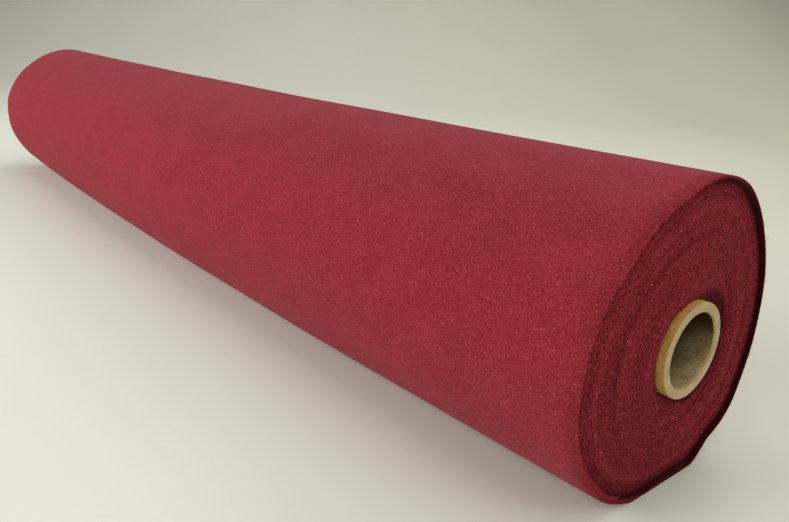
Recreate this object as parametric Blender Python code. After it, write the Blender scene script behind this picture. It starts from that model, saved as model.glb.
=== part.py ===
"""Roll of thin felt on a cardboard tube, lying on its side on a table.

Metres, +Z up. The roll lies along X with its near end at +X. The origin is on the table under the middle of
the roll. An angle round the roll is in degrees, from +Y (the back) towards +Z (the top).
"""

import math

import bmesh
import bpy

# Driving sizes of the goods
FELT_WIDTH = 0.914
TUBE_LENGTH = 0.925
TUBE_BORE = 0.0381
TUBE_WALL = 0.0051
NEAR_STICK_OUT = 0.0048
GAP = 0.0003

# How the roll lies
AXIS_HEIGHT = 0.0773
AXIS_BACK = 0.0034
FLOOR_EASE = 0.0008

# Steps of the meshes
STEPS_ROUND = 96
STEPS_ALONG = 14
TUBE_STEPS = 48

# The wound form's outline about the tube's axis. It is drawn in at the upper front, the soft middle of the
# roll sags to the lower front, the last turn hangs in a loose belly low at the back, and its cut edge rests
# on the table.
# angle, radius at the far end, radius at mid-length, radius at the near end
OUTLINE = (
    (-176.0, 0.0793, 0.0855, 0.0804),
    (-160.0, 0.0810, 0.0870, 0.0804),
    (-145.0, 0.0820, 0.0886, 0.0802),
    (-128.0, 0.0833, 0.0898, 0.0812),
    (-112.0, 0.0828, 0.0860, 0.0804),
    (-90.0, 0.0810, 0.0815, 0.0803),
    (-75.0, 0.0825, 0.0830, 0.0836),
    (-65.5, 0.0856, 0.0858, 0.0860),
    (-60.0, 0.0822, 0.0825, 0.0826),
    (-54.0, 0.0806, 0.0812, 0.0813),
    (-46.0, 0.0800, 0.0814, 0.0838),
    (-37.0, 0.0795, 0.0810, 0.0850),
    (-27.0, 0.0788, 0.0800, 0.0825),
    (-14.0, 0.0780, 0.0790, 0.0803),
    (0.0, 0.0775, 0.0778, 0.0779),
    (18.0, 0.0770, 0.0768, 0.0771),
    (36.0, 0.0770, 0.0764, 0.0774),
    (50.0, 0.0773, 0.0768, 0.0800),
    (68.0, 0.0773, 0.0774, 0.0823),
    (88.0, 0.0770, 0.0768, 0.0806),
    (106.0, 0.0748, 0.0762, 0.0775),
    (124.0, 0.0738, 0.0776, 0.0779),
    (138.0, 0.0746, 0.0794, 0.0768),
    (157.0, 0.0765, 0.0820, 0.0799),
    (170.0, 0.0787, 0.0842, 0.0800),
)
LOOSE_EDGE_ANGLE = -65.5

# How far the edges of the turns stand out towards +X, past the edge of the last turn. All turns are as wide
# as each other, so the same table shapes the far end.
# share of the way out from the tube, at the front, at the back
EDGE_LEVELS = (
    (0.000, 0.0022, -0.0040),
    (0.100, 0.0017, -0.0036),
    (0.280, 0.0008, -0.0028),
    (0.400, 0.0002, -0.0012),
    (0.500, -0.0002, 0.0003),
    (0.600, -0.0006, -0.0008),
    (0.780, -0.0012, -0.0018),
    (0.940, -0.0019, -0.0040),
    (0.955, 0.0000, 0.0000),
    (1.000, 0.0000, 0.0000),
)
BACK_OF_LEVELS = 20.0

# Colour, roughness
FELT_FINISH = ((0.300, 0.036, 0.050, 1.0), 0.95)
TUBE_FINISH = ((0.500, 0.400, 0.240, 1.0), 0.85)


def clear_scene():
    for old in list(bpy.data.objects):
        bpy.data.objects.remove(old, do_unlink=True)


def finish(name, look):
    """A plain material of one colour and roughness."""
    colour, roughness = look
    material = bpy.data.materials.new(name)
    material.use_nodes = True
    shader = material.node_tree.nodes["Principled BSDF"]
    shader.inputs["Base Color"].default_value = colour
    shader.inputs["Roughness"].default_value = roughness
    shader.inputs["Metallic"].default_value = 0.0
    return material


def place(bm, name, material, sharp_degrees):
    """Put a finished bmesh into the scene as one smooth shaded object."""
    mesh = bpy.data.meshes.new(name)
    bm.to_mesh(mesh)
    bm.free()
    mesh.shade_smooth()
    mesh.set_sharp_from_angle(angle=math.radians(sharp_degrees))
    mesh.materials.append(material)
    thing = bpy.data.objects.new(name, mesh)
    bpy.context.scene.collection.objects.link(thing)
    return thing


def radii_at(at):
    """The table's three radii at an angle, on smooth closed curves through its rows."""
    count = len(OUTLINE)
    first_angle = OUTLINE[0][0]
    at = first_angle + (at - first_angle) % 360.0
    k = max(i for i in range(count) if OUTLINE[i][0] <= at)

    def row(i):
        turns, place_in_table = divmod(i, count)
        angle, *radii = OUTLINE[place_in_table]
        return angle + 360.0 * turns, radii

    (a0, r0), (a1, r1), (a2, r2), (a3, r3) = (row(k + step) for step in (-1, 0, 1, 2))
    span = a2 - a1
    t = (at - a1) / span
    found = []
    for v0, v1, v2, v3 in zip(r0, r1, r2, r3):
        slope1 = span * (v2 - v0) / (a2 - a0)
        slope2 = span * (v3 - v1) / (a3 - a1)
        found.append(v1 * (1 - t) ** 2 * (1 + 2 * t) + v2 * t * t * (3 - 2 * t)
                     + slope1 * t * (1 - t) ** 2 - slope2 * t * t * (1 - t))
    return found


def ease_onto_floor(height):
    """Height with everything below the table pressed flat onto it, by a short smooth bend."""
    if height <= -FLOOR_EASE:
        return 0.0
    if height >= FLOOR_EASE:
        return height
    return (height + FLOOR_EASE) ** 2 / (4 * FLOOR_EASE)


def outline_point(angle, along):
    """Point (y, z) of the roll's outside, at an angle and from the far end (0) to the near end (1).

    Along the roll each radius runs on the parabola through its far, middle and near values.
    """
    far, middle, near = radii_at(angle)
    radius = (far * (1 - along) * (1 - 2 * along) + middle * 4 * along * (1 - along)
              + near * along * (2 * along - 1))
    turn = math.radians(angle)
    y = AXIS_BACK + radius * math.cos(turn)
    z = ease_onto_floor(AXIS_HEIGHT + radius * math.sin(turn))
    return y, z


def edge_level(share, angle):
    """How far a turn's edge stands out at one of the table's shares, by its angle."""
    back = 0.5 + 0.5 * math.cos(math.radians(angle - BACK_OF_LEVELS))
    front_level, back_level = next(row[1:] for row in EDGE_LEVELS if row[0] == share)
    return front_level + (back_level - front_level) * back


def felt_roll():
    """The wound felt as one ring-shaped solid: each grid row is one closed loop through both end faces."""
    near_x = TUBE_LENGTH / 2 - NEAR_STICK_OUT
    hole = TUBE_BORE / 2 + TUBE_WALL + GAP
    shares = [row[0] for row in EDGE_LEVELS]
    loop = [(share, 1.0) for share in shares]
    loop += [(1.0, 1 - k / STEPS_ALONG) for k in range(1, STEPS_ALONG)]
    loop += [(share, 0.0) for share in reversed(shares)]

    bm = bmesh.new()
    grid = []
    for step in range(STEPS_ROUND):
        angle = LOOSE_EDGE_ANGLE + 360.0 * step / STEPS_ROUND
        turn = math.radians(angle)
        row = []
        for share, along in loop:
            y, z = outline_point(angle, along)
            hole_y = AXIS_BACK + hole * math.cos(turn)
            hole_z = AXIS_HEIGHT + hole * math.sin(turn)
            x = near_x - FELT_WIDTH * (1 - along) + edge_level(share, angle)
            row.append(bm.verts.new((x, hole_y + share * (y - hole_y), hole_z + share * (z - hole_z))))
        grid.append(row)

    for step, row in enumerate(grid):
        following = grid[(step + 1) % STEPS_ROUND]
        for k in range(len(loop)):
            after = (k + 1) % len(loop)
            bm.faces.new((row[k], following[k], following[after], row[after]))
    bmesh.ops.recalc_face_normals(bm, faces=bm.faces)
    return place(bm, "felt_roll", finish("felt", FELT_FINISH), 40.0)


def core_tube():
    """The cardboard tube: its square-cut wall, spun about the roll's axis."""
    half = TUBE_LENGTH / 2
    inside = TUBE_BORE / 2
    outside = inside + TUBE_WALL
    bm = bmesh.new()
    corners = [(half, inside), (half, outside), (-half, outside), (-half, inside)]
    wall = [bm.verts.new((x, AXIS_BACK + radius, AXIS_HEIGHT)) for x, radius in corners]
    edges = [bm.edges.new((wall[k], wall[(k + 1) % 4])) for k in range(4)]
    bmesh.ops.spin(bm, geom=wall + edges, cent=(0.0, AXIS_BACK, AXIS_HEIGHT), axis=(1.0, 0.0, 0.0),
                   angle=2 * math.pi, steps=TUBE_STEPS, use_merge=True)
    bmesh.ops.remove_doubles(bm, verts=bm.verts, dist=1e-6)
    bmesh.ops.recalc_face_normals(bm, faces=bm.faces)
    return place(bm, "core_tube", finish("cardboard", TUBE_FINISH), 40.0)


clear_scene()
felt_roll()
core_tube()
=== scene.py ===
# %% [markdown]
# # A roll of felt on a cardboard tube
# A shop sells felt by the metre from a roll like this one. One long cloth is wound round a stiff cardboard
# tube, and the roll lies on its side on a pale table. This notebook dresses the plain solids of the part
# with the real things: one cloth that spirals from the tube to its loose end, and a tube of glued plies.
# Lengths are in metres and +Z is up. The roll lies along X, and its near end is at +X.

# %% Load the fixed frame
import math

import bpy
import numpy as np
from mathutils import Matrix, Vector


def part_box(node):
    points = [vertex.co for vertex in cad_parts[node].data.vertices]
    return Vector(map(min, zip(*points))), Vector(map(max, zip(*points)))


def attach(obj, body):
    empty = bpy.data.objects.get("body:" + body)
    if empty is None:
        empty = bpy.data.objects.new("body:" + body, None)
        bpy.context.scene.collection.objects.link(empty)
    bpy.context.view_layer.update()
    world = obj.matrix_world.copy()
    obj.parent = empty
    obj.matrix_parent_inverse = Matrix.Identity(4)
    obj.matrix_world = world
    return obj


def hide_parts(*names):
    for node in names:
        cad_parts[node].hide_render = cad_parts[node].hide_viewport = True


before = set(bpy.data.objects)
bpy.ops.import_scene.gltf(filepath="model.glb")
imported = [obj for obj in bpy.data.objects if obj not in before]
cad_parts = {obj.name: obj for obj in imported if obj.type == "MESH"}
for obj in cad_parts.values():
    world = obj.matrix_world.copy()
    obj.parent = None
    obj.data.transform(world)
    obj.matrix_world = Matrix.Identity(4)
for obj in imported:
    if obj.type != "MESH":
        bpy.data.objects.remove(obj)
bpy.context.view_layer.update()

# %% [markdown]
# ## Sizes from the frame
# The tube's box gives its axis, its outer radius and its ends. The felt is one cloth a yard wide, and its
# edge stops a little short of the tube's end.

# %% Axis, radii and widths
tube_low, tube_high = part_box("core_tube")
AXIS_Y = (tube_low.y + tube_high.y) / 2
AXIS_Z = (tube_low.z + tube_high.z) / 2
TUBE_RADIUS = (tube_high.y - tube_low.y) / 2
TUBE_END = tube_high.x
TUBE_WALL = 0.0051
CLOTH_WIDTH = 0.914
NEAR_STICK_OUT, HOLE_GAP = 0.0048, 0.0003
NEAR_EDGE = TUBE_END - NEAR_STICK_OUT
HOLE_RADIUS = TUBE_RADIUS + HOLE_GAP
print(f"axis at y {AXIS_Y:.4f}, z {AXIS_Z:.4f}; tube radius {TUBE_RADIUS * 1000:.2f} mm")

# %% [markdown]
# ## Helpers for meshes
# Every surface here is a grid of points worked out with numpy. A grid becomes faces by one rule, and a
# finished list of points and faces becomes an object with one call. All objects stay at the origin, so a
# pattern on Object coordinates lies still on them.

# %% Grids, faces and objects
def grid_faces(rows, columns, first=0, closed=False):
    """Quads of a grid of points that is numbered row by row from `first`.

    Corner order is (row, column), (row, next column), (next row, next column), (next row, column). A closed
    grid joins its last column to its first.
    """
    row = np.arange(rows - 1)[:, None]
    column = np.arange(columns if closed else columns - 1)[None, :]
    following = (column + 1) % columns
    corners = [row * columns + column, row * columns + following,
               (row + 1) * columns + following, (row + 1) * columns + column]
    return first + np.stack(corners, axis=-1).reshape(-1, 4)


def make_object(name, points, faces, materials, slots=None, attributes=()):
    """One smooth-shaded mesh object from an array of points and a list of faces.

    `attributes` are pairs of a name and an array with one value for each point.
    """
    mesh = bpy.data.meshes.new(name)
    mesh.from_pydata(np.asarray(points, float).tolist(), [], faces)
    for material in materials:
        mesh.materials.append(material)
    if slots is not None:
        mesh.polygons.foreach_set("material_index", np.asarray(slots, np.int32))
    for label, values in attributes:
        mesh.attributes.new(label, "FLOAT", "POINT").data.foreach_set("value", values.astype(np.float32))
    mesh.shade_smooth()
    mesh.update()
    thing = bpy.data.objects.new(name, mesh)
    bpy.context.scene.collection.objects.link(thing)
    print(f"{name}: {len(mesh.vertices)} points, {len(mesh.polygons)} faces")
    return thing


def smooth(t):
    """Three t squared less two t cubed: an even rise from 0 to 1, flat at both ends."""
    t = np.clip(t, 0.0, 1.0)
    return t * t * (3 - 2 * t)


def wander(at, seed, knots=4096):
    """Smooth random values from -1 to 1 along `at`, one free value at each whole number."""
    values = np.random.default_rng(seed).uniform(-1, 1, knots)
    whole = np.floor(at).astype(int)
    part = smooth(at - whole)
    return values[whole % knots] * (1 - part) + values[(whole + 1) % knots] * part


# %% [markdown]
# ## The outline of the wound roll
# A soft roll isn't round. It is drawn in at the upper front, sags to the lower front in the middle of its
# length, and its last turn hangs in a loose belly low at the back. Then it meets the table, and the roll
# presses its cut edge flat. The rows below give the radius about the tube's axis at some angles, from +Y
# (the back) towards +Z (the top). Smooth closed curves join the rows, and a parabola joins the far, middle
# and near radius along the roll. A lathed circle would be quicker, but it would look like a pipe, and a shape
# pushed about by hand couldn't be used again for the turns inside.

# %% The outline's rows and its curve
LOOSE_EDGE_ANGLE = -98.0
FLOOR_EASE = 0.0008
# angle, radius at the far end, radius at mid-length, radius at the near end
OUTLINE = np.array((
    (-176.0, 0.0793, 0.0855, 0.0804), (-160.0, 0.0810, 0.0870, 0.0804), (-145.0, 0.0820, 0.0886, 0.0802),
    (-128.0, 0.0833, 0.0898, 0.0812), (-112.0, 0.0828, 0.0860, 0.0804), (-90.0, 0.0810, 0.0815, 0.0803),
    (-75.0, 0.0825, 0.0830, 0.0830), (-65.5, 0.0844, 0.0845, 0.0844), (-60.0, 0.0828, 0.0830, 0.0832),
    (-54.0, 0.0806, 0.0812, 0.0817), (-46.0, 0.0800, 0.0814, 0.0844), (-37.0, 0.0795, 0.0810, 0.0854),
    (-27.0, 0.0788, 0.0800, 0.0827), (-14.0, 0.0780, 0.0790, 0.0804), (0.0, 0.0775, 0.0778, 0.0784),
    (18.0, 0.0770, 0.0768, 0.0778), (36.0, 0.0770, 0.0764, 0.0781), (50.0, 0.0773, 0.0768, 0.0798),
    (68.0, 0.0773, 0.0774, 0.0823), (88.0, 0.0770, 0.0768, 0.0818), (106.0, 0.0748, 0.0762, 0.0782),
    (124.0, 0.0738, 0.0776, 0.0779), (138.0, 0.0746, 0.0794, 0.0768), (157.0, 0.0765, 0.0820, 0.0799),
    (170.0, 0.0787, 0.0842, 0.0800),
))


def radii_at(angles):
    """The far, middle and near radius at each angle, on closed curves through the rows.

    Between two rows the curve is the cubic that meets both with the slope of the line between the rows on
    either side.
    """
    rows = np.vstack([OUTLINE[-2:] - [360, 0, 0, 0], OUTLINE, OUTLINE[:2] + [360, 0, 0, 0]])
    place = OUTLINE[0, 0] + (np.asarray(angles, float) - OUTLINE[0, 0]) % 360
    k = np.searchsorted(rows[:, 0], place, side="right") - 1
    before, here, after, beyond = (rows[k + step] for step in (-1, 0, 1, 2))
    span = after[:, :1] - here[:, :1]
    t = (place[:, None] - here[:, :1]) / span
    slope_here = span * (after - before)[:, 1:] / (after - before)[:, :1]
    slope_after = span * (beyond - here)[:, 1:] / (beyond - here)[:, :1]
    return (here[:, 1:] * (1 - t) ** 2 * (1 + 2 * t) + after[:, 1:] * t * t * (3 - 2 * t)
            + slope_here * t * (1 - t) ** 2 - slope_after * t * t * (1 - t))


def outline_points(angles, along):
    """Points (y, z) of the roll's outside, a row for each angle and a column for each place along it.

    Heights below the table are pressed flat onto it, by a short smooth bend.
    """
    far, middle, near = (radius[:, None] for radius in radii_at(angles).T)
    radius = (far * (1 - along) * (1 - 2 * along) + middle * 4 * along * (1 - along)
              + near * along * (2 * along - 1))
    turn = np.radians(angles)[:, None]
    height = AXIS_Z + radius * np.sin(turn)
    bend = (height + FLOOR_EASE) ** 2 / (4 * FLOOR_EASE)
    height = np.where(height <= -FLOOR_EASE, 0.0, np.where(height >= FLOOR_EASE, height, bend))
    return AXIS_Y + radius * np.cos(turn), height


check_angles = np.arange(-180.0, 180.0, 1.0)
check_y, check_z = outline_points(check_angles, np.array([[0.0, 0.5, 1.0]]))
print("outline: y", check_y.min().round(4), "to", check_y.max().round(4), "z up to", check_z.max().round(4))

# %% [markdown]
# ## How one cloth fills the roll
# The cloth starts at the tube and runs round it until its loose edge. A place on it is given by how many
# turns are still to come outside it, counted back from the loose edge. That count becomes a depth in the
# roll, and the depth becomes a share of the way from the tube to the outline, so all turns nest inside each
# other. The roll's weight presses the loose edge thin, and there the cloth below it steps in within a short
# angle. Deeper down, the step is spread over the whole turn, as in any wound roll.

# %% Turns, depth and angle
TURNS = 45.6
PRESSED_THIN = 0.1
STEP_OUTSIDE = 0.03
STEP_SPREAD = 0.06


def depth_of(turns_left):
    """How many turns lie outside this place. It grows by one in a smooth step just after each whole turn."""
    whole = np.floor(turns_left)
    width = np.clip(STEP_OUTSIDE + STEP_SPREAD * (whole - 1), STEP_OUTSIDE, 1.0)
    return np.where(whole < 1, 0.0, whole - 1 + smooth((turns_left - whole) / width))


def pressed(turns_left):
    """Share of the cloth's thickness that is left: it falls to a tenth at the loose edge."""
    return PRESSED_THIN + (1 - PRESSED_THIN) * smooth(turns_left / STEP_OUTSIDE)


def angle_of(turns_left):
    """The angle round the roll, in degrees, which falls towards the loose edge."""
    return LOOSE_EDGE_ANGLE + 360.0 * turns_left


mean_wall = radii_at(check_angles).mean() - HOLE_RADIUS
print(f"depth at the tube {depth_of(np.array([TURNS]))[0]:.2f}, mean pitch {mean_wall / TURNS * 1000:.2f} mm")

# %% [markdown]
# ### Gaps under the last turns
# The last turns of a roll that has been handled lie a little loose. Where they stand off, the turns inside
# have less room and move in together. The rows give the two gaps at some angles, and straight lines join
# them.

# %% Looseness
# angle, gap under the last turn, gap under the turn inside it
LOOSENESS = np.array((
    (-98.0, 0.0, 0.0), (-78.0, 0.0002, 0.0), (-62.0, 0.0006, 0.0002), (-44.0, 0.0006, 0.0003),
    (-28.0, 0.0005, 0.0003), (0.0, 0.0003, 0.0002), (35.0, 0.0002, 0.0001), (70.0, 0.0002, 0.0001),
    (110.0, 0.0001, 0.0001), (160.0, 0.0001, 0.0001), (200.0, 0.0001, 0.0001), (235.0, 0.0001, 0.0),
    (262.0, 0.0, 0.0),
))


def looseness_at(angles, depth):
    """How far a turn has sunk from its even place, through the gaps between the outer turns.

    The two gaps open between the first turns, and the turns inside take up the room evenly.
    """
    place = LOOSE_EDGE_ANGLE + (angles - LOOSE_EDGE_ANGLE) % 360
    first = np.interp(place, LOOSENESS[:, 0], LOOSENESS[:, 1])
    second = np.interp(place, LOOSENESS[:, 0], LOOSENESS[:, 2])
    kept = 1 - depth / TURNS
    return (first * smooth(depth) + second * smooth(depth - 1)) * kept


print(f"widest gap {LOOSENESS[:, 1:].max() * 1000:.1f} mm")

# %% [markdown]
# ### How far the edges stand out
# No roll is wound dead straight. Here the turns beside the tube stand out at the front and lie in a hollow at
# the back, and the last turn stands out all round as a rim. Noise alone would look like a rough saw cut. Rows
# of levels, with a slow drift from turn to turn, look wound.

# %% Edge levels and the rim
# share of the way out from the tube, how far edges stand out at the front, at the back, and what the bottom
# adds
EDGE_LEVELS = np.array((
    (0.00, 0.0014, -0.0016, 0.0), (0.10, 0.0014, -0.0016, 0.0), (0.20, 0.0011, -0.0015, 0.0),
    (0.30, 0.0005, -0.0008, 0.0), (0.39, 0.0001, 0.0009, 0.0), (0.44, -0.0001, 0.0013, 0.0),
    (0.50, -0.0002, 0.0008, 0.0), (0.58, -0.0004, -0.0006, 0.0), (0.68, -0.0006, -0.0014, -0.0003),
    (0.80, -0.0007, -0.0020, -0.0010), (0.88, -0.0007, -0.0023, -0.0022), (0.94, -0.0006, -0.0025, -0.0022),
    (1.00, -0.0006, -0.0026, -0.0020),
))
# share, and the angle at the middle of the back
LEVELS_TURN = np.array(((0.0, -40.0), (0.25, -30.0), (0.40, -10.0), (0.7, 20.0), (0.95, 60.0)))
BACK_SHARPNESS = 1.7
BOTTOM_ANGLE, BOTTOM_SHARPNESS = -100.0, 3
RIM_TURNS, RIM_ENDS_OVER = 0.985, 0.07
RIM_MORE_TURNS, RIM_WIDEST_ANGLE, RIM_SHARPNESS = 2.3, -125.0, 16
# how far the edges wander in and out, and over how many turns
WANDERS = ((0.00055, 4.6, 11), (0.00015, 1.3, 12), (0.00010, 0.11, 13))


def nearness(angles, middle):
    """Half of one plus the cosine of the angle from a middle: 1 there and 0 on the roll's other side."""
    return 0.5 + 0.5 * np.cos(np.radians(angles - middle))


def rim_turns(angles):
    """How many of the last turns make up the rim: one, and more at the lower front, where turns slipped.

    What it adds is a high power of the nearness to its widest place.
    """
    return RIM_TURNS + RIM_MORE_TURNS * nearness(angles, RIM_WIDEST_ANGLE) ** RIM_SHARPNESS


def edge_level(share, angles, turns_left):
    """How far the cloth's edge stands out: the rows' level for its share and angle, and a small wander.

    The level goes from its front to its back value with a power of the nearness to the back, and a power of
    the nearness to the bottom brings in what that adds. The rim's edges are at level nought.
    """
    back = nearness(angles, np.interp(share, *LEVELS_TURN.T)) ** BACK_SHARPNESS
    bottom = nearness(angles, BOTTOM_ANGLE) ** BOTTOM_SHARPNESS
    front_level, back_level, bottom_adds = (np.interp(share, EDGE_LEVELS[:, 0], EDGE_LEVELS[:, k])
                                            for k in (1, 2, 3))
    drift = sum(size * wander(turns_left / turns, seed) for size, turns, seed in WANDERS)
    level = front_level + (back_level - front_level) * back + bottom_adds * bottom + drift
    return level * smooth((turns_left - rim_turns(angles)) / RIM_ENDS_OVER)


print(f"levels from {EDGE_LEVELS[:, 1:3].min() * 1000:.1f} to {EDGE_LEVELS[:, 1:3].max() * 1000:.1f} mm")

# %% [markdown]
# ### From a place on the cloth to a point
# Now a point can be worked out from three numbers: how many turns are left, how far across the cloth it is,
# and how far through its thickness. Everything that lies on the cloth, the fibres too, uses this function.

# %% Points of the cloth
CLOTH_THICKNESS = 0.00124
PACKING_SPREAD, PACKING_TURNS = 0.025, 1.7
LIFT_FREE_HEIGHT = 0.014


def cloth_points(turns_left, across, offset, lift=0.0):
    """Points of the cloth: x, y and z, a row for each place along it and a column for each across it.

    `across` runs over the cloth's width and `offset` through its thickness, from -0.5 inside to 0.5 outside.
    A point lies on the line from the tube's surface to the outline, at the share that its depth gives. `lift`
    moves it outwards, less and less towards the table.
    """
    turns_left = np.asarray(turns_left, float)[:, None]
    angles = angle_of(turns_left)
    depth = depth_of(turns_left)
    turn = np.radians(angles)
    hole_y = AXIS_Y + HOLE_RADIUS * np.cos(turn)
    hole_z = AXIS_Z + HOLE_RADIUS * np.sin(turn)
    out_y, out_z = outline_points(angles[:, 0], across / CLOTH_WIDTH)
    length = np.hypot(out_y - hole_y, out_z - hole_z)
    pitch = length / TURNS
    packing = 1 - PACKING_SPREAD * (1 + wander(turns_left * PACKING_TURNS, 21))
    thickness = np.minimum(packing * pitch, CLOTH_THICKNESS) * pressed(turns_left)
    lift = lift * smooth(out_z / LIFT_FREE_HEIGHT)
    even = 1 - (depth + 0.5 * pressed(turns_left)) / TURNS
    share = even + (offset * thickness + lift - looseness_at(angles, depth)) / length
    x = NEAR_EDGE - CLOTH_WIDTH + across + edge_level(even, angles, turns_left)
    return np.stack([x + 0 * share, hole_y + share * (out_y - hole_y), hole_z + share * (out_z - hole_z)], -1)


loose_edge = cloth_points([0.0], np.array([[CLOTH_WIDTH / 2]]), np.array([[0.0]]))[0, 0]
print("middle of the loose edge:", loose_edge.round(4))

# %% [markdown]
# ## The cloth as one closed sheet
# The sheet's section across the width is a long thin loop: the outer face, a rounded edge, the inner face
# and another rounded edge. Carried along the spiral, that loop gives the whole cloth. Only the last turn
# shows its face, so it gets many columns and the turns inside get a few. Faces with many corners join the
# two parts under the last turn, where nobody sees them. A solid roll with rings painted on its ends would be
# lighter, but a real edge for each turn catches the light, and the cloth could be unrolled.

# %% Section of the sheet
SHOULDER = 0.0003
PANELS = 4
PANEL_COLUMNS = 24

# how far in from the edge, and how far through the cloth, the three points of a rounded edge lie
edge_across = np.array([0.00009, 0.0, 0.00009])
edge_offset = np.array([0.40, 0.0, -0.40])
EDGE_STRIPS = len(edge_across) + 1


def section_loop(columns):
    """The section's places across the cloth and through it, with `columns` strips on the outer face.

    It runs over the outer face, round the near edge, back over the inner face and round the far edge.
    """
    outer = np.linspace(SHOULDER, CLOTH_WIDTH - SHOULDER, columns + 1)
    inner = np.linspace(CLOTH_WIDTH - SHOULDER, SHOULDER, PANELS + 1)
    across = np.concatenate([outer, CLOTH_WIDTH - edge_across, inner, edge_across])
    offset = np.concatenate([np.full(len(outer), 0.5), edge_offset, np.full(len(inner), -0.5), -edge_offset])
    return across[None, :], offset[None, :]


coarse_across, coarse_offset = section_loop(PANELS)
fine_across, fine_offset = section_loop(PANELS * PANEL_COLUMNS)
print(f"points in a loop: {coarse_across.size} inside, {fine_across.size} on the last turn")

# %% [markdown]
# The last turn isn't quite smooth. A few long sine waves that cross each other lift it here and there, by so
# little that only the light shows it.

# %% Soft waves of the last turn
# waves round the roll, how they shift in radians a metre along it, and where they start
SOFT_WAVES = ((3, 9, 1.0), (5, -23, 2.2), (2, 31, 0.4), (8, 14, 4.1))
SOFT_LIFT, LIFT_FADES_OVER = 0.00035, 1 / 12
OUTER_FACE_OFFSET = 0.4


def soft_unevenness(turns_left, across):
    """Low rounded waves that lift the last turn by up to about half a millimetre.

    They are the mean of long sine waves round and along the roll, raised so that they only push outwards.
    """
    turn = 2 * np.pi * np.asarray(turns_left)[:, None]
    waves = sum(np.sin(count * turn + shift * across + start) for count, shift, start in SOFT_WAVES)
    return SOFT_LIFT * (1 + waves / len(SOFT_WAVES))


# %% Rows of points along the spiral
FINE_TURNS = 1.22
INNER_STEPS = 72
FINE_STEPS = 200

inner_left = np.arange(TURNS, FINE_TURNS, -1 / INNER_STEPS)
fine_left = np.linspace(FINE_TURNS, 0.0, int(FINE_TURNS * FINE_STEPS) + 1)
coarse = cloth_points(inner_left, coarse_across, coarse_offset)
swell = soft_unevenness(fine_left, fine_across) * (fine_offset > OUTER_FACE_OFFSET)
swell = swell * smooth((1 - fine_left[:, None]) / LIFT_FADES_OVER)
fine = cloth_points(fine_left, fine_across, fine_offset, swell)
print(f"{len(coarse)} loops inside, {len(fine)} on the last turn, lifted {swell.max() * 1000:.1f} mm at most")

# %% Faces and material slots
coarse_count, fine_count = coarse.shape[1], fine.shape[1]
first_fine = coarse.shape[0] * coarse_count
last_coarse = first_fine - coarse_count
last_fine = first_fine + (fine.shape[0] - 1) * fine_count


def join_rows():
    """Faces between the last coarse loop and the first fine one: a wide face for each coarse strip."""
    extra = PANELS * PANEL_COLUMNS - PANELS
    fine_place = [k * PANEL_COLUMNS for k in range(PANELS + 1)]
    fine_place += [k + extra for k in range(PANELS + 1, coarse_count)]
    faces = []
    for k in range(coarse_count):
        after = (k + 1) % coarse_count
        stop = fine_place[after] if after else fine_count
        back = [first_fine + j % fine_count for j in range(stop, fine_place[k] - 1, -1)]
        faces.append([last_coarse + k, last_coarse + after, *back])
    return faces


felt_faces = grid_faces(coarse.shape[0], coarse_count, 0, True).tolist() + join_rows()
felt_faces += grid_faces(fine.shape[0], fine_count, first_fine, True).tolist()
felt_faces.append(list(range(coarse_count))[::-1])
felt_faces.append(list(range(last_fine, last_fine + fine_count)))
felt_points = np.vstack([coarse.reshape(-1, 3), fine.reshape(-1, 3)])


def edge_slots(strips, loops):
    """Material slots: 0 on both faces of the cloth and 1 on its two cut edges, loop after loop."""
    one_loop = [0] * strips + [1] * EDGE_STRIPS + [0] * PANELS + [1] * EDGE_STRIPS
    return one_loop * loops


felt_slots = edge_slots(PANELS, coarse.shape[0])
felt_slots += edge_slots(PANELS * PANEL_COLUMNS, fine.shape[0] - 1) + [0, 0]
print(f"{len(felt_faces)} faces, {sum(felt_slots)} of them on cut edges")

# %% [markdown]
# Light hardly reaches between the turns. The renderer finds most of that by itself, and the rest is painted
# shade: each point of the cloth also carries one value, 0 in the open and 1 deep inside. The value paints the
# inner faces dark, paints shade on the edges that lie in a hollow, and paints a shadow under the rim and
# beside the tube. It goes round with the cloth, which a picture laid over the end wouldn't.

# %% Shade of the cloth
# painted shade of the cut edges: a base, painted light towards the top, painted shade in hollows and on the
# rim's edge, and painted shadows under the rim and beside the tube's near end
EDGE_SHADE, TOP_GETS_LIGHT = 0.08, 0.07
# how strong a wander of the shade is, and over how many turns
SHADE_SPREADS = ((0.12, 1.9, 31), (0.09, 5.3, 32))
HOLLOW_SHADE, HOLLOW_DEPTH = 0.65, 0.0058
BACK_ANGLE = -15.0
RIM_EDGE_SHADE, RIM_EDGE_SPREAD = 0.95, (0.6, 0.9)
RIM_TONE_TURNS, RIM_TONE_OVER = 0.13, 0.06
UNDER_RIM_SHADE, UNDER_RIM_SPREAD = 0.85, (0.65, 0.75)
UNDER_RIM_TURNS, UNDER_RIM_OVER = 4.8, 4.2
BESIDE_TUBE_SHADE, BESIDE_TUBE_ANGLE, BESIDE_TUBE_SPREAD = 0.72, -20.0, (1.0, 1.0)
BESIDE_TUBE_SHARE, BESIDE_TUBE_MORE, BESIDE_TUBE_OVER = 0.07, 0.29, 0.08
WIDEST_BESIDE_ANGLE = -12.0
INNER_SHADE = 0.6
DARK_TURNS = 4.5


def tone_round(angles, middle, spread):
    """A tone that comes and goes round the roll: a smooth rise of a level plus a swing times the cosine."""
    level, swing = spread
    return smooth(level + swing * np.cos(np.radians(angles - middle)))


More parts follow.
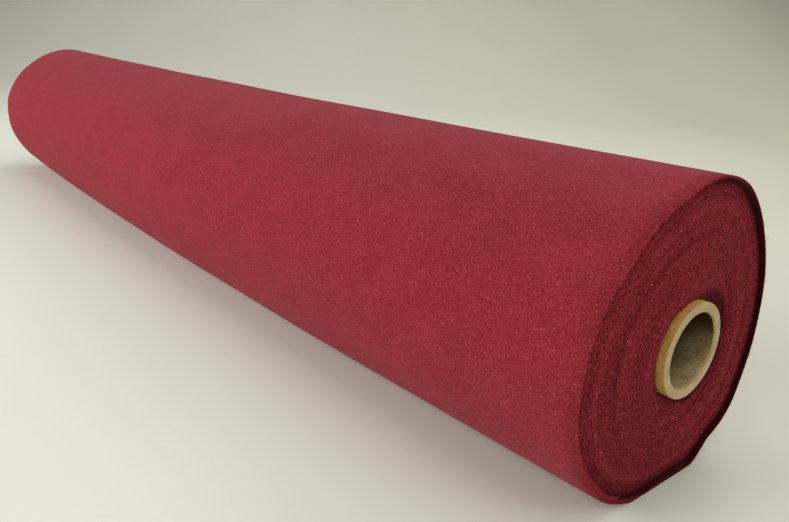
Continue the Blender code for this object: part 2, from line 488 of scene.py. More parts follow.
def edge_shade(turns_left, near):
    """Painted shade of the cut edges: it rises smoothly with the depth of the hollow, and wanders a little.

    At the far end a hollow is where the near end stands out. The edges at the top are painted lighter, as lit
    from above. The rim's own edge has painted shade, darkest at the back, and the first turns under it get a
    painted shadow of the rim. Another painted shadow is a crescent in the hollow beside the tube's near end.
    """
    angles = angle_of(turns_left)
    share = 1 - (depth_of(turns_left) + 0.5) / TURNS
    level = edge_level(share, angles, turns_left)
    hollow = HOLLOW_SHADE * smooth(np.where(near, -level, level) / HOLLOW_DEPTH)
    rim = RIM_EDGE_SHADE * tone_round(angles, BACK_ANGLE, RIM_EDGE_SPREAD)
    under_rim = UNDER_RIM_SHADE * tone_round(angles, BACK_ANGLE, UNDER_RIM_SPREAD)
    under_rim = under_rim * smooth((UNDER_RIM_TURNS - turns_left) / UNDER_RIM_OVER)
    beside = BESIDE_TUBE_SHADE * tone_round(angles, BESIDE_TUBE_ANGLE, BESIDE_TUBE_SPREAD)
    widening = np.clip(np.cos(np.radians(angles - WIDEST_BESIDE_ANGLE)), 0, 1)
    reach = BESIDE_TUBE_SHARE + BESIDE_TUBE_MORE * widening
    beside = near * beside * smooth((reach - share) / BESIDE_TUBE_OVER)
    wanders = sum(size * wander(turns_left / turns, seed) for size, turns, seed in SHADE_SPREADS)
    # painted light: edges towards the top are painted lighter
    tone = EDGE_SHADE - TOP_GETS_LIGHT * np.sin(np.radians(angles)) + wanders
    tone = tone + hollow + under_rim + beside
    on_rim = smooth((rim_turns(angles) + RIM_TONE_TURNS - turns_left) / RIM_TONE_OVER)
    return np.clip(tone + (rim - tone) * on_rim, 0, 1)


def shade_of(turns_left, across, offset, outer_shade):
    """Painted shade of each point of the cloth: the edges' own, and a steady one between the turns.

    The inner face of the last turns is painted dark altogether, where the rim stands off.
    """
    turns_left = turns_left[:, None]
    edge = edge_shade(turns_left, across > CLOTH_WIDTH / 2)
    inner = INNER_SHADE + (1 - INNER_SHADE) * smooth(DARK_TURNS - turns_left)
    on_edge = np.abs(offset) <= OUTER_FACE_OFFSET
    return np.where(on_edge, edge, np.where(offset > 0, outer_shade * INNER_SHADE, inner))


# %% Shade of every point
COVERED_OVER = 0.015
# faces covered by the last turn get the steady painted shade
under_last_turn = smooth((fine_left[:, None] - 1.0) / COVERED_OVER)
inner_shade = shade_of(inner_left, coarse_across, coarse_offset, 1.0)
fine_shade = shade_of(fine_left, fine_across, fine_offset, under_last_turn)
felt_shade = np.concatenate([inner_shade.ravel(), fine_shade.ravel()])
print(f"shade from {felt_shade.min():.2f} to {felt_shade.max():.2f}")

# %% [markdown]
# A sheet's flat size is what a shop would cut off the roll. The width is known, and the length is measured
# along the spiral that was just built.

# %% Length of the cloth
def spiral_length():
    """The cloth's length: the sum of the steps between the middles of the loops, at the near end."""
    past_the_end = -1e-6
    places = np.arange(TURNS, past_the_end, -1 / INNER_STEPS)
    middle = cloth_points(places, np.array([[CLOTH_WIDTH]]), np.array([[0.0]]))[:, 0, 1:]
    return float(np.linalg.norm(np.diff(middle, axis=0), axis=1).sum())


CLOTH_LENGTH = spiral_length()
print(f"cloth {CLOTH_WIDTH} x {CLOTH_LENGTH:.2f} m, lowest point {felt_points[:, 2].min() * 1000:.3f} mm")

# %% [markdown]
# ## Node helpers
# A material here is a Principled shader with its fixed values set on its own sockets. Noise on Object
# coordinates changes its colour and bends its normal. The fine mottle is used by felt, board and table, so
# it is a shader node group with named inputs, built once. A painted picture would need an unwrapping of
# every piece, and it would blur close by.

# %% A new material
def new_material(name, roughness, **constants):
    """A Principled material: returns the material, its nodes and links, and the shader."""
    material = bpy.data.materials.new(name)
    material.use_nodes = True
    shader = material.node_tree.nodes["Principled BSDF"]
    shader.inputs["Roughness"].default_value = roughness
    for socket, value in constants.items():
        shader.inputs[socket.replace("_", " ")].default_value = value
    return material, material.node_tree.nodes, material.node_tree.links, shader


# %% The mottle group
def mottle_group():
    """Group `fibre_mottle`: broad patches and fine grain, mixed, and the fine grain alone as a height."""
    group = bpy.data.node_groups.new("fibre_mottle", "ShaderNodeTree")
    for label, value in (("Broad scale", 60.0), ("Fine scale", 900.0), ("Fine share", 0.6)):
        socket = group.interface.new_socket(label, in_out="INPUT", socket_type="NodeSocketFloat")
        socket.default_value = value
    for label in ("Mottle", "Height"):
        group.interface.new_socket(label, in_out="OUTPUT", socket_type="NodeSocketFloat")
    nodes, links = group.nodes, group.links
    given = nodes.new("NodeGroupInput")
    place = nodes.new("ShaderNodeTexCoord")
    result = nodes.new("NodeGroupOutput")
    broad = nodes.new("ShaderNodeTexNoise")
    fine_noise = nodes.new("ShaderNodeTexNoise")
    for noise, label, detail, roughness in ((broad, "Broad scale", 4.0, 0.55),
                                            (fine_noise, "Fine scale", 6.0, 0.7)):
        noise.inputs["Detail"].default_value = detail
        noise.inputs["Roughness"].default_value = roughness
        links.new(place.outputs["Object"], noise.inputs["Vector"])
        links.new(given.outputs[label], noise.inputs["Scale"])
    mix = nodes.new("ShaderNodeMix")
    links.new(given.outputs["Fine share"], mix.inputs["Factor"])
    links.new(broad.outputs["Fac"], mix.inputs["A"])
    links.new(fine_noise.outputs["Fac"], mix.inputs["B"])
    links.new(mix.outputs["Result"], result.inputs["Mottle"])
    links.new(fine_noise.outputs["Fac"], result.inputs["Height"])
    return group


MOTTLE = mottle_group()
print("node group:", MOTTLE.name)

# %% Small node helpers
def ramp(nodes, stops):
    """A colour ramp with stops of (place, colour)."""
    node = nodes.new("ShaderNodeValToRGB")
    elements = node.color_ramp.elements
    while len(elements) < len(stops):
        elements.new(0.5)
    for element, (place, colour) in zip(elements, stops):
        element.position = place
        element.color = (*colour, 1.0)
    return node


def bump(nodes, links, height, shader, distance, strength):
    """Bend the shader's normal by a height."""
    node = nodes.new("ShaderNodeBump")
    node.inputs["Strength"].default_value = strength
    node.inputs["Distance"].default_value = distance
    links.new(height, node.inputs["Height"])
    links.new(node.outputs["Normal"], shader.inputs["Normal"])


def mottle_node(nodes, broad_scale, fine_scale, fine_share):
    """The mottle group placed in a material, with this material's own values."""
    node = nodes.new("ShaderNodeGroup")
    node.node_tree = MOTTLE
    node.inputs["Broad scale"].default_value = broad_scale
    node.inputs["Fine scale"].default_value = fine_scale
    node.inputs["Fine share"].default_value = fine_share
    return node


def mixed(nodes, links, blend, factor, first, second):
    """A colour mix node: `first` and `second` are sockets or colours, and `factor` a socket or a number."""
    node = nodes.new("ShaderNodeMix")
    node.data_type, node.blend_type = "RGBA", blend
    for label, value in ((0, factor), (6, first), (7, second)):
        if isinstance(value, bpy.types.NodeSocket):
            links.new(value, node.inputs[label])
        else:
            node.inputs[label].default_value = value if label == 0 else (*value, 1.0)
    return node.outputs[2]


def own_value(nodes, label):
    """The value that each point of the mesh carries under a name."""
    node = nodes.new("ShaderNodeAttribute")
    node.attribute_name = label
    return node.outputs["Fac"]

# %% [markdown]
# ## Felt
# Needle felt has no weave. It is a mat of short dyed fibres, so it looks matt and soft, a touch lighter where
# one looks along its nap, with a fine grain of lighter and darker fibres and broad, faint clouds.

# %% Felt materials
FACE_STOPS = ((0.38, (0.128, 0.0064, 0.0108)), (0.50, (0.210, 0.0155, 0.0238)),
              (0.62, (0.302, 0.032, 0.043)))
EDGE_STOPS = ((0.40, (0.128, 0.005, 0.008)), (0.50, (0.292, 0.019, 0.028)),
              (0.60, (0.490, 0.052, 0.066)))
FELT_FLECK, FLECK_SCALE, FLECKS_FROM, FLECKS_FULL = (0.540, 0.130, 0.150), 900.0, 0.60, 0.74
# the colour that painted shade multiplies in
PAINTED_SHADE_TINT = (0.16, 0.06, 0.07)
NAP_TINT = (0.85, 0.34, 0.40)
CLOUD_SCALE, FELT_GRAIN = 38.0, 0.9


def felt_material(name, stops, fine_scale, fleck_share, bump_distance, nap):
    """Matt fibre mat: mottle through a three-stop ramp, pale flecks, painted shade, fine bump and a nap."""
    material, nodes, links, shader = new_material(name, 1.0, Sheen_Weight=nap, Sheen_Roughness=0.5,
                                                  Specular_IOR_Level=0.08, Sheen_Tint=(*NAP_TINT, 1.0))
    mottle = mottle_node(nodes, CLOUD_SCALE, fine_scale, FELT_GRAIN)
    colours = ramp(nodes, stops)
    links.new(mottle.outputs["Mottle"], colours.inputs["Fac"])
    place = nodes.new("ShaderNodeTexCoord")
    flecks = nodes.new("ShaderNodeTexNoise")
    flecks.inputs["Scale"].default_value = FLECK_SCALE
    flecks.inputs["Detail"].default_value = 2.0
    links.new(place.outputs["Object"], flecks.inputs["Vector"])
    fleck_mask = ramp(nodes, ((FLECKS_FROM, (0.0, 0.0, 0.0)), (FLECKS_FULL, (fleck_share,) * 3)))
    links.new(flecks.outputs["Fac"], fleck_mask.inputs["Fac"])
    flecked = mixed(nodes, links, "MIX", fleck_mask.outputs["Color"], colours.outputs["Color"], FELT_FLECK)
    # painted shade: the colour is multiplied towards the shade tint as far as the point's shade says
    shaded = mixed(nodes, links, "MULTIPLY", own_value(nodes, "shade"), flecked, PAINTED_SHADE_TINT)
    links.new(shaded, shader.inputs["Base Color"])
    bump(nodes, links, mottle.outputs["Height"], shader, bump_distance, 0.6)
    return material


felt_face = felt_material("felt_face", FACE_STOPS, 1300.0, 0.35, 0.0005, 0.14)
felt_edge = felt_material("felt_edge", EDGE_STOPS, 800.0, 0.6, 0.0008, 0.08)
felt = make_object("felt_cloth", felt_points, felt_faces, [felt_face, felt_edge], felt_slots,
                   attributes=[("shade", felt_shade)])
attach(felt, "root")
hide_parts("felt_roll")

# %% [markdown]
# ## Loose fibres
# Felt sheds. Short fibres stand up from its face and lie across its cut edges, and here and there a longer
# wisp has worked loose. Each one is a slim three-sided spike that bends as it leaves the cloth, and
# thousands of them go into one mesh. They blur the turns of the end faces and soften the outline. Blender's
# hair could do the same, but it isn't a mesh, so it would be lost when the model is exported.

# %% Directions on the cloth
OUTWARD_STEP = 0.3


def frame_on_cloth(turns_left, across, offset):
    """Points on the cloth with the directions out through it, along the roll and round it."""
    here = cloth_points(turns_left, across[:, None], offset[:, None])[:, 0]
    out = cloth_points(turns_left, across[:, None], offset[:, None] + OUTWARD_STEP)[:, 0] - here
    out[:, 0] = 0.0
    out /= np.linalg.norm(out, axis=1, keepdims=True)
    along = np.tile([1.0, 0.0, 0.0], (len(here), 1))
    return here, out, along, np.cross(along, out)


def lean_between(first, second, angles):
    """Directions at the given angles from the first direction towards the second, and square to them."""
    cosine, sine = np.cos(angles)[:, None], np.sin(angles)[:, None]
    return cosine * first + sine * second, cosine * second - sine * first


# %% Fibre spikes
SIDES = 3


def fibre_mesh(roots, lean, side, rise, sizes):
    """Spikes with a root ring, a middle ring and a tip, as points, faces and a tone for each point.

    A fibre's line is root + length s lean + curl s squared side + height s (2 - s) rise, for s from 0 to 1,
    and `sizes` holds its length, curl, height, half width and tone.
    """
    length, curl, height, half_width, tone = (column[:, None] for column in sizes.T)

    def line(share):
        return (roots + length * share * lean + curl * share ** 2 * side
                + height * share * (2 - share) * rise)

    rings = []
    for share, girth in ((0.0, 1.0), (0.55, 0.8)):
        for k in range(SIDES):
            turn = 2 * math.pi * k / SIDES
            rings.append(line(share) + girth * half_width * (math.cos(turn) * side + math.sin(turn) * rise))
    points = np.stack([*rings, line(1.0)], 1)
    first = np.arange(len(roots))[:, None] * points.shape[1]
    quads = [(k, (k + 1) % SIDES, SIDES + (k + 1) % SIDES, SIDES + k) for k in range(SIDES)]
    tips = [(SIDES + k, SIDES + (k + 1) % SIDES, 2 * SIDES) for k in range(SIDES)]
    faces = (first[:, None] + np.array(quads)).reshape(-1, 4).tolist()
    faces += (first[:, None] + np.array(tips)).reshape(-1, 3).tolist()
    faces += (first + np.arange(SIDES)[::-1]).tolist()
    return points.reshape(-1, 3), faces, tone.repeat(points.shape[1], 1).ravel()


# %% Sizes of fibres, and room above the table
TABLE_CLEARANCE = 0.0002


def fibre_sizes(chance, count, lengths, heights, half_widths, tones=(0.0, 1.0)):
    """Random length, curl, height, half width and tone for each fibre, each even within its limits."""
    length = chance.uniform(*lengths, count)
    return np.stack([length, length * chance.uniform(-0.6, 0.6, count), chance.uniform(*heights, count),
                     chance.uniform(*half_widths, count), chance.uniform(*tones, count)], -1)


def clear_of_table(roots, lean, side, sizes):
    """Whether a fibre stays above the table, at the lowest that its lean, curl and height could take it."""
    lowest = roots[:, 2] + np.minimum(sizes[:, 0] * lean[:, 2], 0) - np.abs(sizes[:, 1] * side[:, 2])
    return lowest > sizes[:, 2] + TABLE_CLEARANCE


# %% [markdown]
# A fibre on the face lies nearly flat, any way round. On a cut edge it was sheared off, so it mostly follows
# its turn. The deeper a turn's painted shade is, the darker its fibres are painted.

# %% Fibres on the face and on the edges
def face_fibres(count, seed):
    """Fibres on the open face of the last turn, mostly lying flat."""
    chance = np.random.default_rng(seed)
    turns_left = chance.uniform(0.01, 0.96, count)
    across = chance.uniform(0.001, CLOTH_WIDTH - 0.001, count)
    here, out, along, around = frame_on_cloth(turns_left, across, np.full(count, 0.49))
    lean, side = lean_between(along, around, chance.uniform(0, 2 * np.pi, count))
    sizes = fibre_sizes(chance, count, (0.0008, 0.0024), (0.0001, 0.0006), (0.000014, 0.00003))
    clear = clear_of_table(here, lean, side, sizes)
    return fibre_mesh(here[clear], lean[clear], side[clear], out[clear], sizes[clear])


ROLL_RADIUS = 0.079
FIBRES_REACH_IN = 0.985
SHADE_ON_FIBRES = 1.2


def edge_fibres(count, seed, near, lengths, half_widths, tones=(0.0, 1.0)):
    """Fibres on the cut edges at one end, lying across the turns. Every bit of the face gets as many."""
    chance = np.random.default_rng(seed)
    inner = HOLE_RADIUS / ROLL_RADIUS
    reach = np.sqrt(chance.uniform(inner ** 2, 1, count))
    turns_left = TURNS * (1 - (reach - inner) / (1 - inner)) * FIBRES_REACH_IN
    across = np.full(count, CLOTH_WIDTH if near else 0.0)
    here, out, along, around = frame_on_cloth(turns_left, across, chance.uniform(-0.4, 0.4, count))
    away = along if near else -along
    from_the_turn = chance.normal(0.0, 0.9, count)
    lean, side = lean_between(around, out, from_the_turn + np.pi * chance.integers(0, 2, count))
    sizes = fibre_sizes(chance, count, lengths, (0.0001, 0.0007), half_widths, tones)
    # painted shade on the fibres: their tone falls with the turn's painted shade
    sizes[:, 4] *= 1 - np.minimum(1.0, SHADE_ON_FIBRES * edge_shade(turns_left, near))
    clear = clear_of_table(here, lean, side, sizes)
    return fibre_mesh(here[clear], lean[clear], side[clear], away[clear], sizes[clear])


def joined(parts):
    """Several meshes as one: their points, their faces renumbered, and their tones."""
    points, faces, tones, first = [], [], [], 0
    for part_points, part_faces, part_tones in parts:
        points.append(part_points)
        faces += [[first + corner for corner in face] for face in part_faces]
        tones.append(part_tones)
        first += len(part_points)
    return np.vstack(points), faces, np.concatenate(tones)


# %% [markdown]
# Dyed fibres differ from each other more than from end to end. So each fibre carries one tone, and the
# material turns it into a colour: dark, middling or pale. One material then does for thousands of them.

# %% Fibre finish and pieces
def tone_material(name, dark, middle, light):
    """A colour between three stops, picked by each bit's own tone."""
    material, nodes, links, shader = new_material(name, 1.0, Specular_IOR_Level=0.1)
    colours = ramp(nodes, ((0.0, dark), (0.6, middle), (1.0, light)))
    links.new(own_value(nodes, "tone"), colours.inputs["Fac"])
    links.new(colours.outputs["Color"], shader.inputs["Base Color"])
    return material


def felt_trim(name, mesh_parts, material):
    """A piece that belongs to the felt: fibres or lint, joined into one mesh."""
    points, faces, tones = joined(mesh_parts)
    piece = make_object(name, points, faces, [material], attributes=[("tone", tones)])
    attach(piece, "root")
    return piece


face_fibre = tone_material("face_fibre", (0.15, 0.011, 0.018), (0.23, 0.023, 0.034), (0.32, 0.044, 0.058))
fibre_finish = tone_material("loose_fibre", (0.08, 0.004, 0.007), (0.34, 0.040, 0.052), (0.56, 0.14, 0.16))
face_fuzz = felt_trim("face_fuzz", [face_fibres(9000, 41)], face_fibre)
# short fibres and a few long pale wisps, first at the near end and then at the far one
edge_fuzz = felt_trim("edge_fuzz", [
    edge_fibres(13200, 42, True, (0.0007, 0.0022), (0.00003, 0.00007)),
    edge_fibres(420, 43, True, (0.0025, 0.0060), (0.00006, 0.00010), (0.6, 1.2)),
    edge_fibres(5200, 44, False, (0.0008, 0.0024), (0.00002, 0.00005)),
    edge_fibres(60, 45, False, (0.0030, 0.0060), (0.00005, 0.00009))], fibre_finish)

# %% [markdown]
# ## Lint
# Pale specks of dust and pilled fibre cling to the felt, more on the cut edges than on the face. Bright dots
# in the material would slide under the fibres, so each speck is a mesh of its own: an uneven lump with eight
# faces, which is enough for something less than a millimetre wide.

# %% Lint specks
LIFTED_BY = 0.3
LOWEST_SPECK = 0.004


def specks(places, out, seed, sizes):
    """Lumps with six corners, each pushed out from its middle by its own random radius."""
    chance = np.random.default_rng(seed)
    axes = np.array([(1, 0, 0), (0, 1, 0), (0, 0, 1), (-1, 0, 0), (0, -1, 0), (0, 0, -1)], float)
    radius = chance.uniform(*sizes, (len(places), 1, 1)) * chance.uniform(0.5, 1.3, (len(places), 6, 1))
    points = (places + LIFTED_BY * sizes[0] * out)[:, None] + radius * axes
    corners = [(0, 1, 2), (1, 3, 2), (3, 4, 2), (4, 0, 2), (1, 0, 5), (3, 1, 5), (4, 3, 5), (0, 4, 5)]
    first = np.arange(len(places))[:, None, None] * 6
    tones = (chance.uniform(0, 1, (len(places), 1)) ** 2).repeat(6, 1).ravel()
    return points.reshape(-1, 3), (first + np.array(corners)).reshape(-1, 3).tolist(), tones


def face_specks(count, seed, sizes):
    """Specks strewn over the last turn's face."""
    chance = np.random.default_rng(seed)
    here, out, _, _ = frame_on_cloth(chance.uniform(0.02, 0.95, count),
                                     chance.uniform(0.01, CLOTH_WIDTH - 0.01, count), np.full(count, 0.5))
    clear = here[:, 2] > LOWEST_SPECK
    return specks(here[clear], out[clear], seed + 1, sizes)


# distance from the near edge, angle round the roll, of the specks that show most
BRIGHT_SPECKS = np.array((
    (0.308, 175), (0.263, 164), (0.247, 163), (0.211, 168), (0.155, 160), (0.153, 164), (0.115, 161),
    (0.127, 167), (0.121, 163), (0.072, 163), (0.095, 167), (0.283, 184), (0.095, 133), (0.124, 123),
    (0.080, 164), (0.134, 167), (0.129, 168), (0.016, 154), (0.003, 178),
))


def bright_specks(seed):
    """The specks of the list, set on the last turn's face."""
    from_near, angle = BRIGHT_SPECKS.T
    turns_left = ((angle - LOOSE_EDGE_ANGLE) % 360) / 360
    here, out, _, _ = frame_on_cloth(turns_left, CLOTH_WIDTH - from_near, np.full(len(angle), 0.5))
    return specks(here, out, seed, (0.00023, 0.00038))


def edge_specks(count, seed, near):
    """Specks strewn over the cut edges at one end."""
    chance = np.random.default_rng(seed)
    across = np.full(count, CLOTH_WIDTH if near else 0.0)
    here, _, along, _ = frame_on_cloth(chance.uniform(0.3, TURNS * 0.9, count), across,
                                       chance.uniform(-0.4, 0.4, count))
    clear = here[:, 2] > LOWEST_SPECK
    return specks(here[clear], (along if near else -along)[clear], seed + 1, (0.00012, 0.00038))


lint_finish = tone_material("pale_lint", (0.42, 0.13, 0.14), (0.60, 0.33, 0.34), (0.86, 0.74, 0.72))
lint = felt_trim("lint", [face_specks(150, 51, (0.00010, 0.00028)), bright_specks(57),
                          edge_specks(210, 53, True), edge_specks(80, 55, False)], lint_finish)

# %% [markdown]
# ## The cardboard tube
# The tube is made of strips of board glued in a spiral, ply on ply, and cut square. The cut shows the plies
# as fine rings, with lips that a saw and much handling have rounded. A cylinder with a Boolean hole would do
# from afar. Here a section of the wall is carried round the axis instead, so each ply gets its own ring.

# %% Build the tube
PLIES = 8
RING_STEPS = 160
PLY_GROOVE = 0.00012
CUT_ROUNDING = 0.0003
LIP_ROUNDING = 0.0009
LIP_RINGS = 5
BORE_DEPTHS = (0.0025, 0.005, 0.008, 0.012, 0.017, 0.023, 0.031, 0.042)


def tube_profile():
    """The wall's section as (x from the tube's middle, radius), a closed loop that starts outside at +X.

    At each end the face dips a little between the plies, and both lips are rounded.
    """
    inside = TUBE_RADIUS - TUBE_WALL
    ply = TUBE_WALL / PLIES
    rings = [(-CUT_ROUNDING, TUBE_RADIUS), (-CUT_ROUNDING * 0.3, TUBE_RADIUS - CUT_ROUNDING * 0.3)]
    for k in range(PLIES):
        outside_of_ply = TUBE_RADIUS - k * ply
        rings += [(0.0, outside_of_ply - ply * 0.35), (0.0, outside_of_ply - ply * 0.7)]
        if k < PLIES - 1:
            rings.append((-PLY_GROOVE, outside_of_ply - ply))
    rings = [ring for ring in rings if ring[1] > inside + LIP_ROUNDING]
    for turn in np.linspace(0, math.pi / 2, LIP_RINGS):
        rings.append((-LIP_ROUNDING * (1 - math.cos(turn)), inside + LIP_ROUNDING * (1 - math.sin(turn))))
    rings += [(-depth, inside) for depth in BORE_DEPTHS]
    end = np.array(rings)
    near = end + [TUBE_END, 0]
    far = (end * [-1, 1] + [-TUBE_END, 0])[::-1]
    return np.vstack([near, far]), len(end)


profile, end_rows = tube_profile()
ring_turn = np.linspace(0, 2 * np.pi, RING_STEPS, endpoint=False)[None, :]
tube_points = np.stack([profile[:, :1] + 0 * ring_turn, AXIS_Y + profile[:, 1:] * np.cos(ring_turn),
                        AXIS_Z + profile[:, 1:] * np.sin(ring_turn)], -1)
rows = len(profile)
step = np.arange(RING_STEPS)
following_step = (step + 1) % RING_STEPS
last_row = (rows - 1) * RING_STEPS
closing = np.stack([last_row + step, last_row + following_step, following_step, step], -1)
tube_faces = np.vstack([grid_faces(rows, RING_STEPS, 0, True), closing])
face_row = np.arange(rows).repeat(RING_STEPS)
bore_rings = LIP_RINGS + len(BORE_DEPTHS)
in_bore = (face_row >= end_rows - bore_rings) & (face_row < end_rows + bore_rings - 1)
tube_slots = np.where(in_bore, 2, np.where(face_row == rows - 1, 0, 1))
print(f"tube wall {TUBE_WALL * 1000:.1f} mm in {PLIES} plies, profile of {rows} rows")

# %% [markdown]
# ### Inside the bore
# Little light gets down the bore, and what does comes slantwise from above, so the lower half of its mouth
# stays light. One value for each point paints that shade on the board, as on the felt.

# %% Shade in the bore
DARK_AT = 0.036
LIGHT_FALLS_FROM, MOUTH_SPREAD = 100.0, (0.65, 0.7)


def bore_shade():
    """Painted shade of each point: 1 deep in the bore. Near its mouths the lower half is painted as lit from
    above.

    It is 1 - (1 - deep) (1 - top), where deep rises with the distance from the nearer mouth.
    """
    deep = smooth((TUBE_END - np.abs(profile[:, :1])) / DARK_AT)
    top = tone_round(np.degrees(ring_turn), LIGHT_FALLS_FROM, MOUTH_SPREAD)
    a_hair = 1e-6
    inside = profile[:, 1:] < TUBE_RADIUS - TUBE_WALL + a_hair
    return (inside * (1 - (1 - deep) * (1 - top))).ravel()


# %% [markdown]
# ### Board
# The outside is brown kraft paper, and the cut and the bore are paler grey-brown pulp. All three are the
# same material with its own colours, grain and gloss.

# %% Board materials
KRAFT = ((0.34, (0.32, 0.145, 0.030)), (0.50, (0.50, 0.265, 0.064)), (0.66, (0.60, 0.38, 0.12)))
CUT_BOARD = ((0.34, (0.38, 0.28, 0.14)), (0.50, (0.54, 0.415, 0.235)), (0.66, (0.68, 0.56, 0.35)))
BORE_BOARD = ((0.38, (0.28, 0.19, 0.075)), (0.50, (0.46, 0.33, 0.155)), (0.62, (0.64, 0.485, 0.265)))
# the colour that the bore's painted shade multiplies in
BORE_SHADE_TINT = (0.085, 0.06, 0.025)
PULP_CLOUDS, PULP_GRAIN = 120.0, 0.6


def board_material(name, stops, fine_scale, distance, gloss):
    """Pulp board: mottled fibre colour with a fine bump and a weak gloss."""
    material, nodes, links, shader = new_material(name, 0.85, Specular_IOR_Level=gloss)
    mottle = mottle_node(nodes, PULP_CLOUDS, fine_scale, PULP_GRAIN)
    colours = ramp(nodes, stops)
    links.new(mottle.outputs["Mottle"], colours.inputs["Fac"])
    links.new(colours.outputs["Color"], shader.inputs["Base Color"])
    bump(nodes, links, mottle.outputs["Height"], shader, distance, 0.4)
    return material


def paint_bore_shade(material):
    """Paint shade on the board: multiply its colour by the shade tint, as far as the point's shade says."""
    nodes, links = material.node_tree.nodes, material.node_tree.links
    base = nodes["Principled BSDF"].inputs["Base Color"]
    colour = base.links[0].from_socket
    links.new(mixed(nodes, links, "MULTIPLY", own_value(nodes, "shade"), colour, BORE_SHADE_TINT), base)


kraft_paper = board_material("kraft_paper", KRAFT, 700.0, 0.0003, 0.3)
bore_board = board_material("bore_board", BORE_BOARD, 900.0, 0.0004, 0.04)
paint_bore_shade(bore_board)
cut_board = board_material("cut_board", CUT_BOARD, 1200.0, 0.0002, 0.3)
tube = make_object("cardboard_tube", tube_points.reshape(-1, 3), tube_faces.tolist(),
                   [kraft_paper, cut_board, bore_board], tube_slots, attributes=[("shade", bore_shade())])
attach(tube, "root")
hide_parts("core_tube")

# %% [markdown]
# ## Where the camera stands
# The camera's place, its three angles and its lens were fitted to the outline of the roll and to the round
# end of the tube. Yaw turns it about the upright axis, pitch tips it down, and roll leans it sideways.

# %% Camera's place, angles and lens
CAMERA_PLACE = Vector((0.6046, -0.3069, 0.2140))
YAW, PITCH, ROLL = (math.radians(degrees) for degrees in (49.166, 18.138, 3.652))
LENS_MM, SENSOR_MM = 33.0, 36.0

# %% [markdown]
# ## Table and backdrop
# The roll lies on a pale table that bends up into a pale wall. A pool of light is painted on both, so they
# are a little darker away from their middle.
# A floor and a wall that meet in a corner would draw a line behind the roll, so one sheet does for both.

# %% Table and backdrop
TABLE_FRONT, BEND_STARTS, BEND_RADIUS, WALL_TOP = -3.0, 1.9, 1.4, 2.6
HALF_TABLE = 3.0
FLOOR_ROWS, BEND_ROWS, TABLE_COLUMNS = 12, 24, 9


def table_sweep():
    """A floor that bends up into a wall: a profile carried sideways, turned to face the camera."""
    bend = np.radians(np.linspace(0, 90, BEND_ROWS + 1))[1:]
    floor = np.stack([np.linspace(TABLE_FRONT, BEND_STARTS, FLOOR_ROWS), np.zeros(FLOOR_ROWS)], -1)
    curve = np.stack([BEND_STARTS + BEND_RADIUS * np.sin(bend), BEND_RADIUS * (1 - np.cos(bend))], -1)
    wall = np.array([(BEND_STARTS + BEND_RADIUS, WALL_TOP)])
    profile_points = np.vstack([floor, curve, wall])
    sideways = np.linspace(-HALF_TABLE, HALF_TABLE, TABLE_COLUMNS)[None, :]
    away, height = profile_points[:, :1], profile_points[:, 1:]
    x = CAMERA_PLACE.x - math.sin(YAW) * away + math.cos(YAW) * sideways
    y = CAMERA_PLACE.y + math.cos(YAW) * away + math.sin(YAW) * sideways
    return np.stack([x, y, height + 0 * sideways], -1)


# painted pool of light on the table and wall: its middle, its reach, and the tint at its edge
LIGHT_POOL_MIDDLE = (0.0, -0.39, 0.0)
LIGHT_POOL_REACH = (1.4, 3.6, 3.6)
LIGHT_POOL_EDGE_TINT, LIGHT_POOL_FULL_AT = (0.60, 0.60, 0.54), 0.75
TABLE_PAINT = ((0.3, (0.76, 0.755, 0.665)), (0.7, (0.80, 0.795, 0.705)))


def pale_table_with_light_pool():
    """Pale paint with faint clouds, times a tint that grows away from a long round painted pool of light."""
    material, nodes, links, shader = new_material("pale_table", 0.7, Specular_IOR_Level=0.2)
    mottle = mottle_node(nodes, 4.0, 300.0, 0.3)
    colours = ramp(nodes, TABLE_PAINT)
    links.new(mottle.outputs["Mottle"], colours.inputs["Fac"])
    coordinates = nodes.new("ShaderNodeTexCoord")
    place = nodes.new("ShaderNodeMapping")
    place.vector_type = "TEXTURE"
    place.inputs["Location"].default_value = LIGHT_POOL_MIDDLE
    place.inputs["Rotation"].default_value = (0.0, 0.0, YAW)
    place.inputs["Scale"].default_value = LIGHT_POOL_REACH
    pool = nodes.new("ShaderNodeTexGradient")
    pool.gradient_type = "SPHERICAL"
    light_pool_tint = ramp(nodes, ((0.0, LIGHT_POOL_EDGE_TINT), (LIGHT_POOL_FULL_AT, (1.0, 1.0, 1.0))))
    links.new(coordinates.outputs["Object"], place.inputs["Vector"])
    links.new(place.outputs["Vector"], pool.inputs["Vector"])
    links.new(pool.outputs["Fac"], light_pool_tint.inputs["Fac"])
    painted = mixed(nodes, links, "MULTIPLY", 1.0, colours.outputs["Color"], light_pool_tint.outputs["Color"])
    links.new(painted, shader.inputs["Base Color"])
    return material


sweep = table_sweep()
table = make_object("pale_table", sweep.reshape(-1, 3), grid_faces(*sweep.shape[:2]).tolist(),
                    [pale_table_with_light_pool()])

# %% [markdown]
# ## Camera
# Blender can aim a camera with a constraint, but then its lean is hard to set. A matrix made of three square
# directions says both: which way is right, which is up and which is back.

# %% Camera
def camera_matrix():
    """The camera's place and turn: yaw about Z, pitch down, then roll about the view."""
    forward = Vector((-math.sin(YAW) * math.cos(PITCH), math.cos(YAW) * math.cos(PITCH), -math.sin(PITCH)))
    right = Vector((math.cos(YAW), math.sin(YAW), 0.0))
    up = right.cross(forward)
    turned_right = math.cos(ROLL) * right + math.sin(ROLL) * up
    turned_up = math.cos(ROLL) * up - math.sin(ROLL) * right
    matrix = Matrix((turned_right, turned_up, -forward)).transposed().to_4x4()
    matrix.translation = CAMERA_PLACE
    return matrix


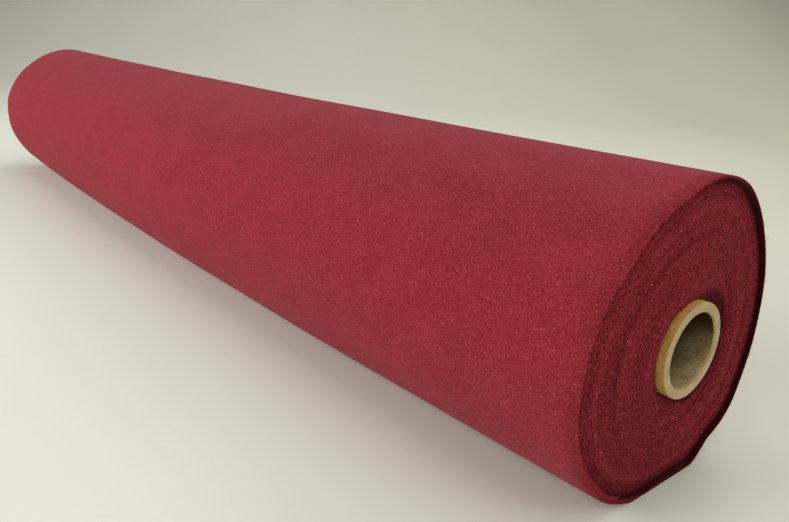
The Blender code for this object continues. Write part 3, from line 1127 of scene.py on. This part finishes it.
camera_data = bpy.data.cameras.new("camera")
camera_data.lens, camera_data.sensor_width = LENS_MM, SENSOR_MM
camera = bpy.data.objects.new("camera", camera_data)
camera.matrix_world = camera_matrix()
bpy.context.scene.collection.objects.link(camera)
bpy.context.scene.camera = camera
print(f"camera {CAMERA_PLACE.length:.2f} m from the origin, lens {LENS_MM} mm")

# %% [markdown]
# ## Light
# The light is a room's: a wide low window to the front left, weaker soft lights from the ceiling, the front,
# the right and the back, and an even bluish grey sky that fills the shadows. One picture of a room as the sky
# would be simpler, but its shadows couldn't be moved one by one.

# %% Light
def soft_light(name, place, target, width, watts, colour):
    """A square area light at a place, turned to face a target."""
    light = bpy.data.lights.new(name, "AREA")
    light.shape, light.size, light.energy, light.color = "SQUARE", width, watts, colour
    lamp = bpy.data.objects.new(name, light)
    lamp.location = place
    lamp.rotation_euler = (Vector(target) - Vector(place)).to_track_quat("-Z", "Y").to_euler()
    bpy.context.scene.collection.objects.link(lamp)


# name, place, target, width, watts, colour
SOFT_LIGHTS = (
    ("window_light", (-0.9, -1.9, 0.6), (0.0, 0.0, 0.05), 1.8, 53.0, (0.96, 0.99, 0.955)),
    ("ceiling_light", (0.2, 0.4, 1.9), (0.1, 0.0, 0.0), 2.2, 13.5, (1.0, 0.99, 0.97)),
    ("front_light", (0.5, -2.0, 0.9), (0.0, 0.0, 0.05), 1.8, 14.0, (1.0, 0.99, 0.97)),
    ("right_light", (2.0, 0.2, 1.4), (0.2, 0.0, 0.05), 1.4, 12.0, (1.0, 0.97, 0.90)),
    ("back_light", (0.0, 1.9, 1.5), (0.0, 0.0, 0.05), 1.4, 20.0, (1.0, 0.98, 0.94)),
)
SKY_COLOUR, SKY_STRENGTH = (0.90, 0.95, 1.0, 1.0), 0.21

for values in SOFT_LIGHTS:
    soft_light(*values)
world = bpy.data.worlds.new("even_grey")
world.use_nodes = True
sky = world.node_tree.nodes["Background"]
sky.inputs["Color"].default_value = SKY_COLOUR
sky.inputs["Strength"].default_value = SKY_STRENGTH
bpy.context.scene.world = world
bpy.context.scene.view_settings.view_transform = "Standard"
print(f"{len(SOFT_LIGHTS)} lights, {sum(values[4] for values in SOFT_LIGHTS)} watts")
